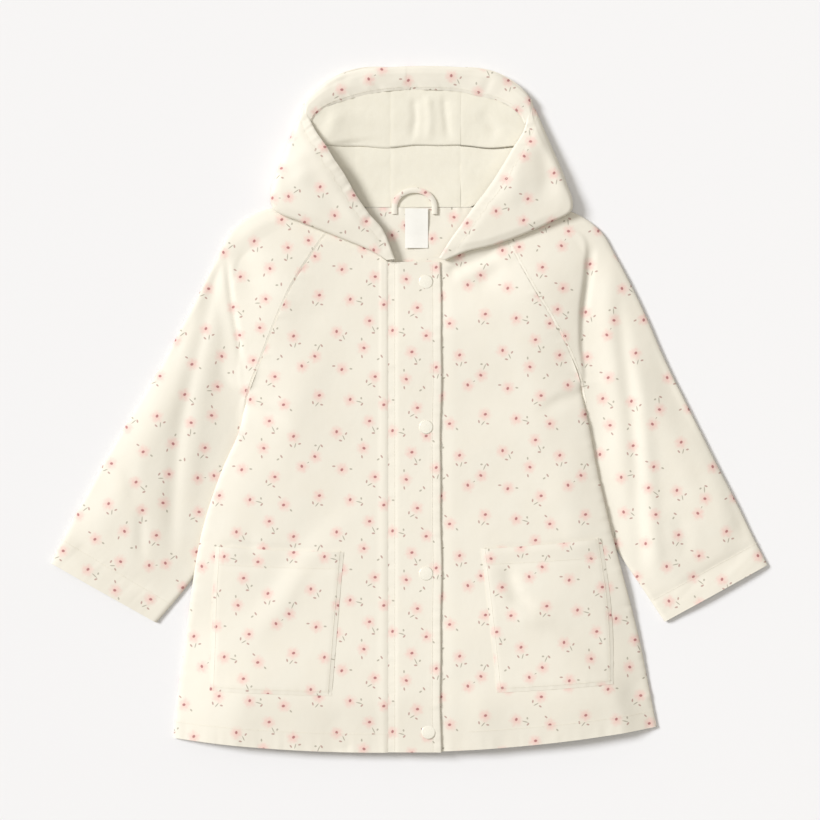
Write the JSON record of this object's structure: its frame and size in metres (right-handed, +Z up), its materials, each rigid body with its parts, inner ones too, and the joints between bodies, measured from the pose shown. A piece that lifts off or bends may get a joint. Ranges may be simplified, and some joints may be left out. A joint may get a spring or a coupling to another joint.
{
  "type": "toddler's hooded parka",
  "caption": "Toddler's hooded raincoat parka in flower-printed coated cotton, laid flat and fastened, with raglan sleeves, patch pockets and a snap placket.",
  "frame": {"origin": "middle of the coat's outline on the surface it lies on, at the underside", "axes": "+X to the wearer's left across the chest, +Y from the hem to the hood, +Z up from the surface"},
  "size_m": [0.6462, 0.6173, 0.016],
  "materials": {
    "coated_cotton": "cream cotton with a soft-sheen coating, printed with small pink flowers",
    "plain_lining": "plain cream woven cotton, matte",
    "label_satin": "white satin ribbon, bare",
    "snap_enamel": "cream enamelled cap, semi-gloss"
  },
  "bodies": {
    "root": {"back": "coated_cotton", "front_right": "coated_cotton", "front_left": "coated_cotton", "placket_flap": "coated_cotton", "pocket_right": "coated_cotton", "pocket_left": "coated_cotton", "sleeve_right": "coated_cotton", "sleeve_left": "coated_cotton", "hood_side_right": "coated_cotton", "hood_side_left": "coated_cotton", "hood_centre": "coated_cotton", "hood_facing_right": "coated_cotton", "hood_facing_left": "coated_cotton", "neck_facing": "coated_cotton", "hanger_loop": "coated_cotton", "hood_lining_right": "plain_lining", "hood_lining_centre": "plain_lining", "hood_lining_left": "plain_lining", "label": "label_satin", "snap_1": "snap_enamel", "snap_2": "snap_enamel", "snap_3": "snap_enamel", "snap_4": "snap_enamel"}
  },
  "joints": []
}
